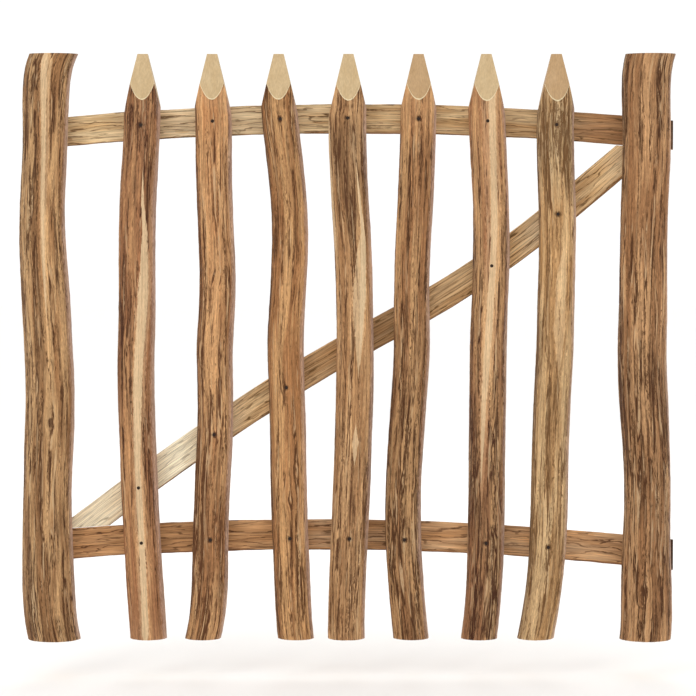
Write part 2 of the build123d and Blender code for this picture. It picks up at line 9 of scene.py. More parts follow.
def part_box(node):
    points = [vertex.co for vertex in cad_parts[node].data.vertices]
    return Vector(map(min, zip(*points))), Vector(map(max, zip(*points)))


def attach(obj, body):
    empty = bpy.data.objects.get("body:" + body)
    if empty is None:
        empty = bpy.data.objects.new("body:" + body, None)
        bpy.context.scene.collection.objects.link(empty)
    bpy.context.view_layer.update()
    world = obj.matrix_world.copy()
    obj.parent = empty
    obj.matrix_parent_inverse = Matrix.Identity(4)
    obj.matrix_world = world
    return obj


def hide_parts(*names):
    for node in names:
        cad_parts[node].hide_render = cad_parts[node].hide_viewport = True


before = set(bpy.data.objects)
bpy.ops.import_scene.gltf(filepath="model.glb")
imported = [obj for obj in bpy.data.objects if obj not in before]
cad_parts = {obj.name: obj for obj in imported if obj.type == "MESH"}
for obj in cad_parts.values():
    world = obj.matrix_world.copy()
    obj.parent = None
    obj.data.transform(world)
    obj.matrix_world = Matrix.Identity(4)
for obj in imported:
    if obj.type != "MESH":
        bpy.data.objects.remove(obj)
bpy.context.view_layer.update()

MM = 0.001
X, Y, Z = 0, 1, 2

# Planes of the gate, read from the frame
FOOT_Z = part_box("hinge_stile")[0].z
TOP_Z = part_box("hinge_stile")[1].z
LEAF_HEIGHT = TOP_Z - FOOT_Z
RAIL_FACE_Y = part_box("upper_rail")[0].y

# How finely the poles are divided, round and along, and how many CAD sections each is read at
POLE_SIDES = 112
POLE_CUTS = (14, 29)
POLE_SECTIONS = 200
RAIL_SIDES = 64
RAIL_CUTS = (14, 33)
RAIL_SECTIONS = 300
BORE_SIDES = 40
SMOOTH_ANGLE = math.radians(40)

# Material slots of a pole: its surface, a blade cut, a sawn end and the flat back
WOOD_SLOT, CUT_SLOT, END_SLOT, BACK_SLOT = 0, 1, 2, 3

# Four-sided points of the pickets; towards them the relief of the wood fades to a share
POINT_TOP = 15.5 * MM
POINT_SIDE_ANGLE = math.radians(13.3)
POINT_FRONT_ANGLE = math.radians(16.0)
POINT_SHOULDER = 85 * MM
POINT_SMOOTHED = (76.5 * MM, 119 * MM)
POINT_RELIEF = 0.15

# Relief of peeled hazel: how wide, how long and how deep each kind of mark is
SWELL = (34 * MM, 150 * MM, 1.1 * MM)
GROOVE = (4.4 * MM, 120 * MM, 0.9 * MM)
FIBRE = (2.6 * MM, 14 * MM, 0.35 * MM)

# Relief of split hazel in the same way, and what of it shows on the torn face and on the round back
SPLIT_SWELL = (18 * MM, 110 * MM, 1.0 * MM)
SPLIT_GROOVE = (4.0 * MM, 95 * MM, 0.5 * MM)
SPLIT_FIBRE = (2.4 * MM, 22 * MM, 0.4 * MM)
FACE_INSET = 0.25 * MM
FACE_FIBRE = 0.18 * MM
EDGE_WEAR = 0.5 * MM
BACK_SWELL = 0.5 * MM
BACK_GROOVE = 0.3 * MM

# How the octaves of the relief fall off, and how much finer each is than the last
FRACTAL_FALL = 0.9
FRACTAL_STEP = 2.1

# The patterns of each pole start this far, in metres, from those of the one before
GRAIN_SHIFT = 3.0
SPLIT_GRAIN_START = 40

# Knots: how far they push the grain aside and how dark they are
KNOT_PUSH = 0.8
KNOT_DARK = 0.9

# Stripes: how much their ends fray and taper, as shares of the height, and their least half width
STRIPE_FRAY = 0.02
STRIPE_TAPER = 0.015
STRIPE_LEAST = 0.05 * MM

# Pale inner bark along the lower edge of a cut point, measured square to the cut in widths of the rim
RIM = 0.55 * MM
NO_RIM = -9.0

# Painted highlight: a grey-pink strip along the right-hand side of each pole, where the light falls from the
# right
HIGHLIGHT_TURN = math.radians(95)
HIGHLIGHT_HALF_WIDTH = 18 * MM

# Dimples that the nails were driven into; the nails of a group stand further apart than the gap
NAIL_GAP = 20 * MM
DIMPLE_RADIUS = 3.1 * MM
DIMPLE_RIM = 2.2 * MM
NAIL_PROUD = 0.2 * MM

# How far from its ends a rail's or the brace's CAD sections are whole, and over how many its slope is taken
RAIL_TRIM = 12 * MM
BRACE_TRIM = 75 * MM
SLOPE_SECTIONS = 8

# The upper rail is sawn short at its ends; the brace is made long and cut to the rails
UPPER_RAIL_SHORT = 3.5 * MM
BRACE_REACH = 20 * MM
BRACE_CUT_RUN = 110 * MM
BRACE_CUT_ROOM = 0.8 * MM

# Seats bored into the backs of the rails for the heads of the stile screws
SPOT_FACE_DEPTH = 21 * MM
SPOT_FACE_ROOM = 0.6 * MM


# Choosing and dividing


def start_fresh():
    """Leaves edit mode and deselects everything."""
    if bpy.context.object and bpy.context.object.mode != "OBJECT":
        bpy.ops.object.mode_set(mode="OBJECT")
    bpy.ops.object.select_all(action="DESELECT")


def choose_edges(along):
    """Selects the edges of the mesh in edit mode that run along a direction."""
    bpy.ops.mesh.select_mode(type="EDGE")
    edit = bmesh.from_edit_mesh(bpy.context.edit_object.data)
    for edge in edit.edges:
        run = edge.verts[1].co - edge.verts[0].co
        edge.select_set(abs(run.normalized().dot(along)) > 0.99)
    bmesh.update_edit_mesh(bpy.context.edit_object.data)


def divided_cylinder(name, sides, cuts, low, high):
    """A closed upright cylinder in a box, cut into rings along its length."""
    start_fresh()
    bpy.ops.mesh.primitive_cylinder_add(
        vertices=sides,
        radius=(high.x - low.x) / 2,
        depth=high.z - low.z,
        location=(low + high) / 2,
    )
    piece = bpy.context.object
    piece.name = name
    bpy.ops.object.transform_apply(location=True, rotation=True, scale=True)
    bpy.ops.object.mode_set(mode="EDIT")
    for count in cuts:
        choose_edges(Vector((0, 0, 1)))
        bpy.ops.mesh.subdivide(number_cuts=count)
    bpy.ops.object.mode_set(mode="OBJECT")
    return piece


def cut_flat(piece, place, outwards, slot):
    """Saws a piece along a plane, closes it there and gives the new face a material slot."""
    bpy.context.view_layer.objects.active = piece
    bpy.ops.object.mode_set(mode="EDIT")
    bpy.ops.mesh.select_mode(type="FACE")
    bpy.ops.mesh.select_all(action="SELECT")
    bpy.ops.mesh.bisect(plane_co=place, plane_no=outwards, use_fill=True, clear_outer=True)
    piece.active_material_index = slot
    bpy.ops.object.material_slot_assign()
    bpy.ops.object.mode_set(mode="OBJECT")


def plane_back(piece, level, slot):
    """Planes the back of a pole flat at a level of Y and gives the flat a material slot."""
    bpy.context.view_layer.objects.active = piece
    bpy.ops.object.mode_set(mode="EDIT")
    bpy.ops.mesh.select_all(action="SELECT")
    bpy.ops.mesh.bisect(plane_co=(0, level, 0), plane_no=(0, 1, 0))
    edit = bmesh.from_edit_mesh(piece.data)
    for vertex in edit.verts:
        vertex.co.y = min(vertex.co.y, level)
    for face in edit.faces:
        if min(vertex.co.y for vertex in face.verts) > level - 0.01 * MM:
            face.material_index = slot
    bmesh.update_edit_mesh(piece.data)
    bpy.ops.object.mode_set(mode="OBJECT")


# Reading the frame


def mesh_points(mesh):
    """Places of the vertices of a mesh, a row for each."""
    points = np.empty(len(mesh.vertices) * 3, np.float32)
    mesh.vertices.foreach_get("co", points)
    return points.reshape(-1, 3).astype(float)


def sections(name, axis, places):
    """Lowest and highest corners of a CAD node's sections at places along an axis."""
    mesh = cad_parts[name].data
    ends = np.empty(len(mesh.edges) * 2, np.int32)
    mesh.edges.foreach_get("vertices", ends)
    first, second = mesh_points(mesh)[ends.reshape(-1, 2).T]
    corners = []
    for place in places:
        before, after = first[:, axis] - place, second[:, axis] - place
        crossing = before * after < 0
        share = before[crossing] / (before[crossing] - after[crossing])
        cut = first[crossing] + share[:, None] * (second - first)[crossing]
        corners.append((cut.min(0), cut.max(0)))
    return np.array(corners).transpose(1, 0, 2)


def nail_heads(name):
    """Middle of the front of each nail in a CAD group."""
    points = mesh_points(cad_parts[name].data)
    points = points[np.argsort(points[:, X])]
    groups = np.split(points, np.nonzero(np.diff(points[:, X]) > NAIL_GAP)[0] + 1)
    return [((g.min(0) + g.max(0)) / 2 * (1, 0, 1) + g.min(0) * (0, 1, 0)) for g in groups]


NAIL_HEADS = sum((nail_heads(n) for n in ("upper_rail_nails", "lower_rail_nails", "brace_nails")), [])


def smooth_step(low, high, values):
    share = np.clip((values - low) / (high - low), 0, 1)
    return share * share * (3 - 2 * share)


def marks(grain, width, length, octaves):
    """Noise over straightened wood, with marks of a width across and a length along the grain."""
    scaled = grain / (width, width, length)
    return np.array([noise.fractal(Vector(p), FRACTAL_FALL, FRACTAL_STEP, octaves) for p in scaled])


def keep_on_mesh(mesh, name, kind, field, values):
    attribute = mesh.attributes.new(name, kind, "POINT")
    attribute.data.foreach_set(field, np.asarray(values, np.float32).ravel())


# Colours and materials


def paint(code):
    """Linear colour of an sRGB hex code."""
    parts = [int(code[i : i + 2], 16) / 255 for i in (1, 3, 5)]
    return [p / 12.92 if p <= 0.04045 else ((p + 0.055) / 1.055) ** 2.4 for p in parts] + [1.0]


def shader_node(tree, kind, sockets, **settings):
    """Adds a node with its settings; each socket gets a value or another node's output."""
    made = tree.nodes.new(kind)
    for name, value in settings.items():
        setattr(made, name, value)
    for name, value in sockets.items():
        if isinstance(value, bpy.types.NodeSocket):
            tree.links.new(value, made.inputs[name])
        else:
            made.inputs[name].default_value = value
    return made


def new_material(name):
    material = bpy.data.materials.new(name)
    material.use_nodes = True
    material.node_tree.nodes.clear()
    return material, material.node_tree


def grain_patterns(tree, grain, roughness, kinds):
    """Patterns along the grain, each of a width and a length in millimetres, a detail and a distortion."""
    patterns = []
    for across, along, detail, distortion in kinds:
        scale = (1 / (across * MM), 1 / (across * MM), 1 / (along * MM))
        place = shader_node(tree, "ShaderNodeVectorMath", {0: grain, 1: scale}, operation="MULTIPLY")
        sockets = {"Vector": place.outputs[0], "Scale": 1.0, "Detail": detail, "Distortion": distortion}
        sockets["Roughness"] = roughness
        patterns.append(shader_node(tree, "ShaderNodeTexNoise", sockets).outputs["Fac"])
    return patterns


def peeled_hazel(name, brown, tan, dark, strengths):
    """Peeled hazel: brown bast with dark creases, pale sapwood where the knife went deeper, and a painted
    grey-pink highlight along the right-hand side."""
    material, tree = new_material(name)
    pale = paint("#CDB18B")
    grain = shader_node(tree, "ShaderNodeAttribute", {}, attribute_name="grain").outputs["Vector"]
    depth = shader_node(tree, "ShaderNodeAttribute", {}, attribute_name="groove").outputs["Fac"]
    tone = shader_node(tree, "ShaderNodeAttribute", {}, attribute_name="tone").outputs["Fac"]

    kinds = (
        (16, 230, 3.0, 0.3),
        (2.2, 80, 4.0, 0.4),
        (7, 190, 3.0, 0.5),
        (1.8, 7.0, 4.0, 0.6),
        (6.5, 120, 3.0, 0.9),
    )
    broad, streak, band, fleck, crease = grain_patterns(tree, grain, 0.6, kinds)

    # Stripes and patches: each is its tone within one half width of its line, with a frayed edge
    slow = shader_node(tree, "ShaderNodeMath", {0: streak, 1: 0.8, 2: -0.85}, operation="MULTIPLY_ADD")
    frayed = shader_node(
        tree, "ShaderNodeMath", {0: fleck, 1: 0.9, 2: slow.outputs[0]}, operation="MULTIPLY_ADD"
    )
    for number, strength in enumerate(strengths):
        off = shader_node(tree, "ShaderNodeAttribute", {}, attribute_name=f"stripe_{number}").outputs["Fac"]
        away = shader_node(tree, "ShaderNodeMath", {0: off}, operation="ABSOLUTE")
        fray = shader_node(
            tree, "ShaderNodeMath", {0: away.outputs[0], 1: frayed.outputs[0]}, operation="ADD"
        )
        within = shader_node(
            tree, "ShaderNodeMapRange", {"Value": fray.outputs[0], "From Min": 1.12, "From Max": 0.88}
        )
        mixed = shader_node(
            tree, "ShaderNodeMix", {0: within.outputs[0], 2: tone, 3: strength}, data_type="FLOAT"
        )
        tone = mixed.outputs[0]
    # Painted highlight: a grey-pink strip down the right-hand side of the pole, with a frayed edge
    side_highlight = shader_node(tree, "ShaderNodeAttribute", {}, attribute_name="side_highlight").outputs["Fac"]
    side_highlight_edge = shader_node(tree, "ShaderNodeMath", {0: side_highlight, 1: frayed.outputs[0]}, operation="ADD")
    side_highlighted = shader_node(
        tree,
        "ShaderNodeMapRange",
        {"Value": side_highlight_edge.outputs[0], "From Min": 1.2, "From Max": 0.7, "To Max": 0.7},
    )
    rim = shader_node(tree, "ShaderNodeAttribute", {}, attribute_name="rim").outputs["Fac"]
    rimmed = shader_node(tree, "ShaderNodeMapRange", {"Value": rim, "From Min": -1.1, "From Max": -0.9})

    # Bast colour wanders between brown and tan, with lighter and darker threads along the grain
    wander = shader_node(
        tree,
        "ShaderNodeMapRange",
        {"Value": broad, "From Min": 0.4, "From Max": 0.6},
        interpolation_type="SMOOTHSTEP",
    )
    bast = shader_node(
        tree, "ShaderNodeMix", {0: wander.outputs[0], 6: paint(brown), 7: paint(tan)}, data_type="RGBA"
    )
    thread = shader_node(
        tree,
        "ShaderNodeMapRange",
        {"Value": streak, "From Min": 0.3, "From Max": 0.7, "To Min": 0.68, "To Max": 1.46},
    )
    speckle = shader_node(
        tree,
        "ShaderNodeMapRange",
        {"Value": fleck, "From Min": 0.3, "From Max": 0.7, "To Min": 1.24, "To Max": 0.76},
    )
    textured = shader_node(
        tree, "ShaderNodeMath", {0: thread.outputs[0], 1: speckle.outputs[0]}, operation="MULTIPLY"
    )
    shade = shader_node(
        tree,
        "ShaderNodeMapRange",
        {"Value": tone, "From Min": -1.0, "From Max": 0.5, "To Min": 0.505, "To Max": 1.25},
    )
    light = shader_node(
        tree, "ShaderNodeMath", {0: textured.outputs[0], 1: shade.outputs[0]}, operation="MULTIPLY"
    )
    threaded = shader_node(
        tree, "ShaderNodeVectorMath", {0: bast.outputs[2], "Scale": light.outputs[0]}, operation="SCALE"
    )
    bared = shader_node(tree, "ShaderNodeMapRange", {"Value": tone, "From Min": 0.4, "From Max": 1.0})
    calm = shader_node(
        tree,
        "ShaderNodeMapRange",
        {"Value": light.outputs[0], "From Min": 0.55, "From Max": 1.65, "To Min": 0.72, "To Max": 1.24},
    )
    pale_thread = shader_node(
        tree, "ShaderNodeVectorMath", {0: pale[:3], "Scale": calm.outputs[0]}, operation="SCALE"
    )
    sapwood = shader_node(
        tree,
        "ShaderNodeMix",
        {0: bared.outputs[0], 6: threaded.outputs[0], 7: pale_thread.outputs[0]},
        data_type="RGBA",
    )

    # Dark flecks gather in streaks and in grooves; a low tone leaves more of them, a high tone fewer
    amount = fleck
    for part, weight in ((streak, 0.5), (band, 0.6), (depth, 0.2), (tone, -0.25)):
        amount = shader_node(
            tree, "ShaderNodeMath", {0: part, 1: weight, 2: amount}, operation="MULTIPLY_ADD"
        ).outputs[0]
    flecked = shader_node(
        tree,
        "ShaderNodeMapRange",
        {"Value": amount, "From Min": 1.25, "From Max": 1.38, "To Max": 0.8},
        interpolation_type="SMOOTHSTEP",
    )

    # Fine dark creases run along the grain, in bands, lightly broken by the flecks
    bands = band
    for part, weight in ((streak, 0.3), (fleck, 0.25), (tone, -0.2)):
        bands = shader_node(
            tree, "ShaderNodeMath", {0: part, 1: weight, 2: bands}, operation="MULTIPLY_ADD"
        ).outputs[0]
    middle = shader_node(tree, "ShaderNodeMath", {0: crease, 1: 0.5}, operation="SUBTRACT")
    off_line = shader_node(tree, "ShaderNodeMath", {0: middle.outputs[0]}, operation="ABSOLUTE")
    line = shader_node(
        tree,
        "ShaderNodeMapRange",
        {"Value": off_line.outputs[0], "From Min": 0.065, "From Max": 0.03, "To Max": 1.0},
    )
    gathered = shader_node(tree, "ShaderNodeMapRange", {"Value": bands, "From Min": 0.72, "From Max": 0.85})
    creased = shader_node(
        tree, "ShaderNodeMath", {0: line.outputs[0], 1: gathered.outputs[0]}, operation="MULTIPLY"
    )
    darkness = shader_node(
        tree, "ShaderNodeMath", {0: flecked.outputs[0], 1: creased.outputs[0]}, operation="MAXIMUM"
    )

    # A painted pale highlight stands along one side of each crease, as if its raised edge caught the light
    highlight_place = shader_node(tree, "ShaderNodeMath", {0: crease, 1: 0.62}, operation="SUBTRACT")
    off_highlight = shader_node(tree, "ShaderNodeMath", {0: highlight_place.outputs[0]}, operation="ABSOLUTE")
    crease_highlight = shader_node(
        tree,
        "ShaderNodeMapRange",
        {"Value": off_highlight.outputs[0], "From Min": 0.06, "From Max": 0.0, "To Max": 0.55},
    )
    crease_highlight_shown = shader_node(
        tree, "ShaderNodeMath", {0: crease_highlight.outputs[0], 1: gathered.outputs[0]}, operation="MULTIPLY"
    )
    # The painted crease highlight is mixed over the bast and sapwood colour
    worn = shader_node(
        tree, "ShaderNodeMix", {0: crease_highlight_shown.outputs[0], 6: sapwood.outputs[2], 7: pale}, data_type="RGBA"
    )
    colour = shader_node(
        tree,
        "ShaderNodeMix",
        {0: darkness.outputs[0], 6: worn.outputs[2], 7: paint(dark)},
        data_type="RGBA",
    )
    # The painted grey-pink highlight takes the threads of the bark and is mixed over the colour
    grey_pink_highlight = shader_node(
        tree,
        "ShaderNodeVectorMath",
        {0: paint("#C0A08D")[:3], "Scale": textured.outputs[0]},
        operation="SCALE",
    )
    colour = shader_node(
        tree,
        "ShaderNodeMix",
        {0: side_highlighted.outputs[0], 6: colour.outputs[2], 7: grey_pink_highlight.outputs[0]},
        data_type="RGBA",
    )
    colour = shader_node(
        tree,
        "ShaderNodeMix",
        {0: rimmed.outputs[0], 6: colour.outputs[2], 7: paint("#DECBA4")},
        data_type="RGBA",
    )
    height = shader_node(
        tree, "ShaderNodeMath", {0: darkness.outputs[0], 1: -0.5, 2: streak}, operation="MULTIPLY_ADD"
    )
    pitted = shader_node(
        tree, "ShaderNodeMath", {0: fleck, 1: 0.6, 2: height.outputs[0]}, operation="MULTIPLY_ADD"
    )
    relief = shader_node(
        tree, "ShaderNodeBump", {"Height": pitted.outputs[0], "Strength": 1.0, "Distance": 1.8 * MM}
    )
    roughness = shader_node(
        tree,
        "ShaderNodeMapRange",
        {"Value": fleck, "From Min": 0.3, "From Max": 0.7, "To Min": 0.6, "To Max": 0.85},
    )
    wood = shader_node(
        tree,
        "ShaderNodeBsdfPrincipled",
        {
            "Base Color": colour.outputs[2],
            "Roughness": roughness.outputs[0],
            "Normal": relief.outputs["Normal"],
            "IOR": 1.5,
            "Specular IOR Level": 0.2,
        },
    )
    shader_node(tree, "ShaderNodeOutputMaterial", {"Surface": wood.outputs[0]})
    return material


def fresh_cut_hazel(name, tan, pale):
    """Hazel cut with a sharp blade: pale, smooth, with faint threads along the grain."""
    material, tree = new_material(name)
    grain = shader_node(tree, "ShaderNodeAttribute", {}, attribute_name="grain").outputs["Vector"]
    kinds = ((7, 60, 3.0, 0.3), (1.6, 40, 3.0, 0.0))
    broad, thread = grain_patterns(tree, grain, 0.5, kinds)
    colour = shader_node(tree, "ShaderNodeMix", {0: broad, 6: paint(tan), 7: paint(pale)}, data_type="RGBA")
    line = shader_node(
        tree,
        "ShaderNodeMapRange",
        {"Value": thread, "From Min": 0.3, "From Max": 0.7, "To Min": 0.88, "To Max": 1.1},
    )
    lined = shader_node(
        tree, "ShaderNodeVectorMath", {0: colour.outputs[2], "Scale": line.outputs[0]}, operation="SCALE"
    )
    relief = shader_node(tree, "ShaderNodeBump", {"Height": thread, "Strength": 0.3, "Distance": 0.2 * MM})
    wood = shader_node(
        tree,
        "ShaderNodeBsdfPrincipled",
        {
            "Base Color": lined.outputs[0],
            "Roughness": 0.55,
            "Normal": relief.outputs["Normal"],
            "IOR": 1.5,
            "Specular IOR Level": 0.3,
        },
    )
    shader_node(tree, "ShaderNodeOutputMaterial", {"Surface": wood.outputs[0]})
    return material


def sawn_end_hazel(name):
    """Sawn end of a pole: year rings round the pith, a drying crack, brown bast round the edge."""
    material, tree = new_material(name)
    # From the pith at 0 to the edge at 1
    disc = shader_node(tree, "ShaderNodeAttribute", {}, attribute_name="disc").outputs["Vector"]
    wobble = shader_node(
        tree, "ShaderNodeTexNoise", {"Vector": disc, "Scale": 2.2, "Detail": 3.0}
    ).outputs["Fac"]
    out = shader_node(tree, "ShaderNodeVectorMath", {0: disc}, operation="LENGTH").outputs["Value"]
    uneven = shader_node(tree, "ShaderNodeMath", {0: wobble, 1: 0.3, 2: out}, operation="MULTIPLY_ADD")
    # The real rings are too fine to show in the render, so only a few are drawn
    drawn_rings = 8
    year = shader_node(
        tree, "ShaderNodeMath", {0: uneven.outputs[0], 1: 2 * math.pi * drawn_rings}, operation="MULTIPLY"
    )
    ring = shader_node(tree, "ShaderNodeMath", {0: year.outputs[0]}, operation="SINE")
    band = shader_node(
        tree,
        "ShaderNodeMapRange",
        {"Value": ring.outputs[0], "From Min": -0.2, "From Max": 1.0, "To Max": 0.7},
    )
    rings = shader_node(
        tree,
        "ShaderNodeMix",
        {0: band.outputs[0], 6: paint("#C9AB7E"), 7: paint("#93693F")},
        data_type="RGBA",
    )
    bark_edge = shader_node(tree, "ShaderNodeMapRange", {"Value": out, "From Min": 0.9, "From Max": 0.96})
    edged = shader_node(
        tree,
        "ShaderNodeMix",
        {0: bark_edge.outputs[0], 6: rings.outputs[2], 7: paint("#6A4527")},
        data_type="RGBA",
    )
    # The crack runs out from the pith on one side and wanders a little
    side = shader_node(tree, "ShaderNodeSeparateXYZ", {"Vector": disc})
    wander = shader_node(
        tree, "ShaderNodeMath", {0: wobble, 1: 0.5, 2: side.outputs["X"]}, operation="MULTIPLY_ADD"
    )
    middle = shader_node(tree, "ShaderNodeMath", {0: wander.outputs[0], 1: 0.25}, operation="SUBTRACT")
    off_line = shader_node(tree, "ShaderNodeMath", {0: middle.outputs[0]}, operation="ABSOLUTE")
    open_line = shader_node(
        tree, "ShaderNodeMapRange", {"Value": off_line.outputs[0], "From Min": 0.035, "From Max": 0.012}
    )
    reach = shader_node(
        tree,
        "ShaderNodeMapRange",
        {"Value": side.outputs["Y"], "From Min": 0.1, "From Max": -0.1, "To Max": 0.85},
    )
    crack = shader_node(
        tree, "ShaderNodeMath", {0: open_line.outputs[0], 1: reach.outputs[0]}, operation="MULTIPLY"
    )
    colour = shader_node(
        tree,
        "ShaderNodeMix",
        {0: crack.outputs[0], 6: edged.outputs[2], 7: paint("#3A2412")},
        data_type="RGBA",
    )
    height = shader_node(
        tree, "ShaderNodeMath", {0: crack.outputs[0], 1: -3.0, 2: ring.outputs[0]}, operation="MULTIPLY_ADD"
    )
    relief = shader_node(
        tree, "ShaderNodeBump", {"Height": height.outputs[0], "Strength": 0.3, "Distance": 0.3 * MM}
    )
    wood = shader_node(
        tree,
        "ShaderNodeBsdfPrincipled",
        {
            "Base Color": colour.outputs[2],
            "Roughness": 0.75,
            "Normal": relief.outputs["Normal"],
            "IOR": 1.5,
            "Specular IOR Level": 0.3,
        },
    )
    shader_node(tree, "ShaderNodeOutputMaterial", {"Surface": wood.outputs[0]})
    return material


def split_hazel(name, pale, tan, line, bast):
    """Split hazel: torn face with the dark lines of its year rings, brown bast on its round back."""
    material, tree = new_material(name)
    grain = shader_node(tree, "ShaderNodeAttribute", {}, attribute_name="grain").outputs["Vector"]
    tone = shader_node(tree, "ShaderNodeAttribute", {}, attribute_name="tone").outputs["Fac"]

    kinds = ((12, 160, 3.0, 0.4), (30, 170, 3.0, 0.7), (2.2, 60, 4.0, 0.4), (1.8, 8, 3.0, 0.2))
    broad, bend, thread, fleck = grain_patterns(tree, grain, 0.6, kinds)
    wander = shader_node(
        tree,
        "ShaderNodeMapRange",
        {"Value": broad, "From Min": 0.36, "From Max": 0.64},
        interpolation_type="SMOOTHSTEP",
    )
    face = shader_node(
        tree, "ShaderNodeMix", {0: wander.outputs[0], 6: paint(tan), 7: paint(pale)}, data_type="RGBA"
    )
    # A high tone is clean pale sapwood, a low tone is brown with bast
    clean = shader_node(tree, "ShaderNodeMapRange", {"Value": tone, "From Max": 1.0})
    cleaned = shader_node(
        tree,
        "ShaderNodeMix",
        {0: clean.outputs[0], 6: face.outputs[2], 7: paint("#F2E6C8")},
        data_type="RGBA",
    )
    brown = shader_node(tree, "ShaderNodeMapRange", {"Value": tone, "From Max": -1.0})
    barked = shader_node(
        tree,
        "ShaderNodeMix",
        {0: brown.outputs[0], 6: cleaned.outputs[2], 7: paint(bast)},
        data_type="RGBA",
    )
    streaky = shader_node(
        tree,
        "ShaderNodeMapRange",
        {"Value": thread, "From Min": 0.3, "From Max": 0.7, "To Min": 0.54, "To Max": 1.5},
    )
    # A tone below -1 darkens a rail end with painted shade, where it stands beside the stile
    painted_end_shade = shader_node(
        tree,
        "ShaderNodeMapRange",
        {"Value": tone, "From Min": -1.0, "From Max": -2.0, "To Min": 1.0, "To Max": 0.25},
    )
    shade = shader_node(
        tree, "ShaderNodeMath", {0: streaky.outputs[0], 1: painted_end_shade.outputs[0]}, operation="MULTIPLY"
    )
    threaded = shader_node(
        tree, "ShaderNodeVectorMath", {0: barked.outputs[2], "Scale": shade.outputs[0]}, operation="SCALE"
    )
    # Year rings come to the torn face as thin wavy lines
    ring_spacing = 9.5 * MM
    across = shader_node(tree, "ShaderNodeSeparateXYZ", {"Vector": grain}).outputs["X"]
    ring_place = shader_node(
        tree, "ShaderNodeMath", {0: across, 1: 2 * math.pi / ring_spacing}, operation="MULTIPLY"
    ).outputs[0]
    for part, turns in ((bend, 34.0), (thread, 2.5)):
        ring_place = shader_node(
            tree, "ShaderNodeMath", {0: part, 1: turns, 2: ring_place}, operation="MULTIPLY_ADD"
        ).outputs[0]
    ring = shader_node(tree, "ShaderNodeMath", {0: ring_place}, operation="SINE")
    dashed = shader_node(
        tree, "ShaderNodeMath", {0: fleck, 1: 0.8, 2: ring.outputs[0]}, operation="MULTIPLY_ADD"
    )
    lined = shader_node(
        tree,
        "ShaderNodeMapRange",
        {"Value": dashed.outputs[0], "From Min": 1.12, "From Max": 1.4, "To Max": 0.95},
        interpolation_type="SMOOTHSTEP",
    )
    shown = shader_node(
        tree,
        "ShaderNodeMapRange",
        {"Value": broad, "From Min": 0.38, "From Max": 0.62, "To Min": 1.0, "To Max": 0.5},
    )
    faded = shader_node(
        tree,
        "ShaderNodeMath",
        {0: clean.outputs[0], 1: -0.5, 2: shown.outputs[0]},
        operation="MULTIPLY_ADD",
        use_clamp=True,
    )
    inked = shader_node(
        tree, "ShaderNodeMath", {0: lined.outputs[0], 1: faded.outputs[0]}, operation="MULTIPLY"
    )
    colour = shader_node(
        tree,
        "ShaderNodeMix",
        {0: inked.outputs[0], 6: threaded.outputs[0], 7: paint(line)},
        data_type="RGBA",
    )
    height = shader_node(
        tree, "ShaderNodeMath", {0: lined.outputs[0], 1: -0.5, 2: thread}, operation="MULTIPLY_ADD"
    )
    relief = shader_node(
        tree, "ShaderNodeBump", {"Height": height.outputs[0], "Strength": 0.5, "Distance": 0.8 * MM}
    )
    wood = shader_node(
        tree,
        "ShaderNodeBsdfPrincipled",
        {
            "Base Color": colour.outputs[2],
            "Roughness": 0.72,
            "Normal": relief.outputs["Normal"],
            "IOR": 1.5,
            "Specular IOR Level": 0.2,
        },
    )
    shader_node(tree, "ShaderNodeOutputMaterial", {"Surface": wood.outputs[0]})
    return material


def galvanised_steel(name):
    """Hot-dip galvanised mild steel: dull grey zinc, with faint spangle and cloudy roughness."""
    material, tree = new_material(name)
    place = shader_node(tree, "ShaderNodeTexCoord", {}).outputs["Object"]
    spangle = shader_node(tree, "ShaderNodeTexVoronoi", {"Vector": place, "Scale": 1 / (7 * MM)})
    cloud = shader_node(tree, "ShaderNodeTexNoise", {"Vector": place, "Scale": 1 / (18 * MM), "Detail": 5.0})
    both = shader_node(
        tree, "ShaderNodeMath", {0: spangle.outputs["Color"], 1: cloud.outputs["Fac"]}, operation="MULTIPLY"
    )
    colour = shader_node(
        tree,
        "ShaderNodeMix",
        {0: both.outputs[0], 6: paint("#8E9395"), 7: paint("#C3C8CA")},
        data_type="RGBA",
    )
    roughness = shader_node(
        tree,
        "ShaderNodeMapRange",
        {"Value": cloud.outputs["Fac"], "From Min": 0.3, "From Max": 0.7, "To Min": 0.36, "To Max": 0.6},
    )
    relief = shader_node(
        tree, "ShaderNodeBump", {"Height": cloud.outputs["Fac"], "Strength": 0.2, "Distance": 0.3 * MM}
    )
    steel = shader_node(
        tree,
        "ShaderNodeBsdfPrincipled",
        {
            "Base Color": colour.outputs[2],
            "Metallic": 0.9,
            "Roughness": roughness.outputs[0],
            "Normal": relief.outputs["Normal"],
        },
    )
    shader_node(tree, "ShaderNodeOutputMaterial", {"Surface": steel.outputs[0]})
    return material


def tarnished_nail_steel(name):
    """Bright nail wire that has gone dark in green wood: nearly black, blotched with brown."""
    material, tree = new_material(name)
    place = shader_node(tree, "ShaderNodeTexCoord", {}).outputs["Object"]
    blotch = shader_node(
        tree, "ShaderNodeTexNoise", {"Vector": place, "Scale": 1 / (1.5 * MM), "Detail": 4.0}
    )
    colour = shader_node(
        tree,
        "ShaderNodeMix",
        {0: blotch.outputs["Fac"], 6: paint("#17110D"), 7: paint("#3A271A")},
        data_type="RGBA",
    )
    steel = shader_node(
        tree, "ShaderNodeBsdfPrincipled", {"Base Color": colour.outputs[2], "Metallic": 0.6, "Roughness": 0.6}
    )
    shader_node(tree, "ShaderNodeOutputMaterial", {"Surface": steel.outputs[0]})
    return material


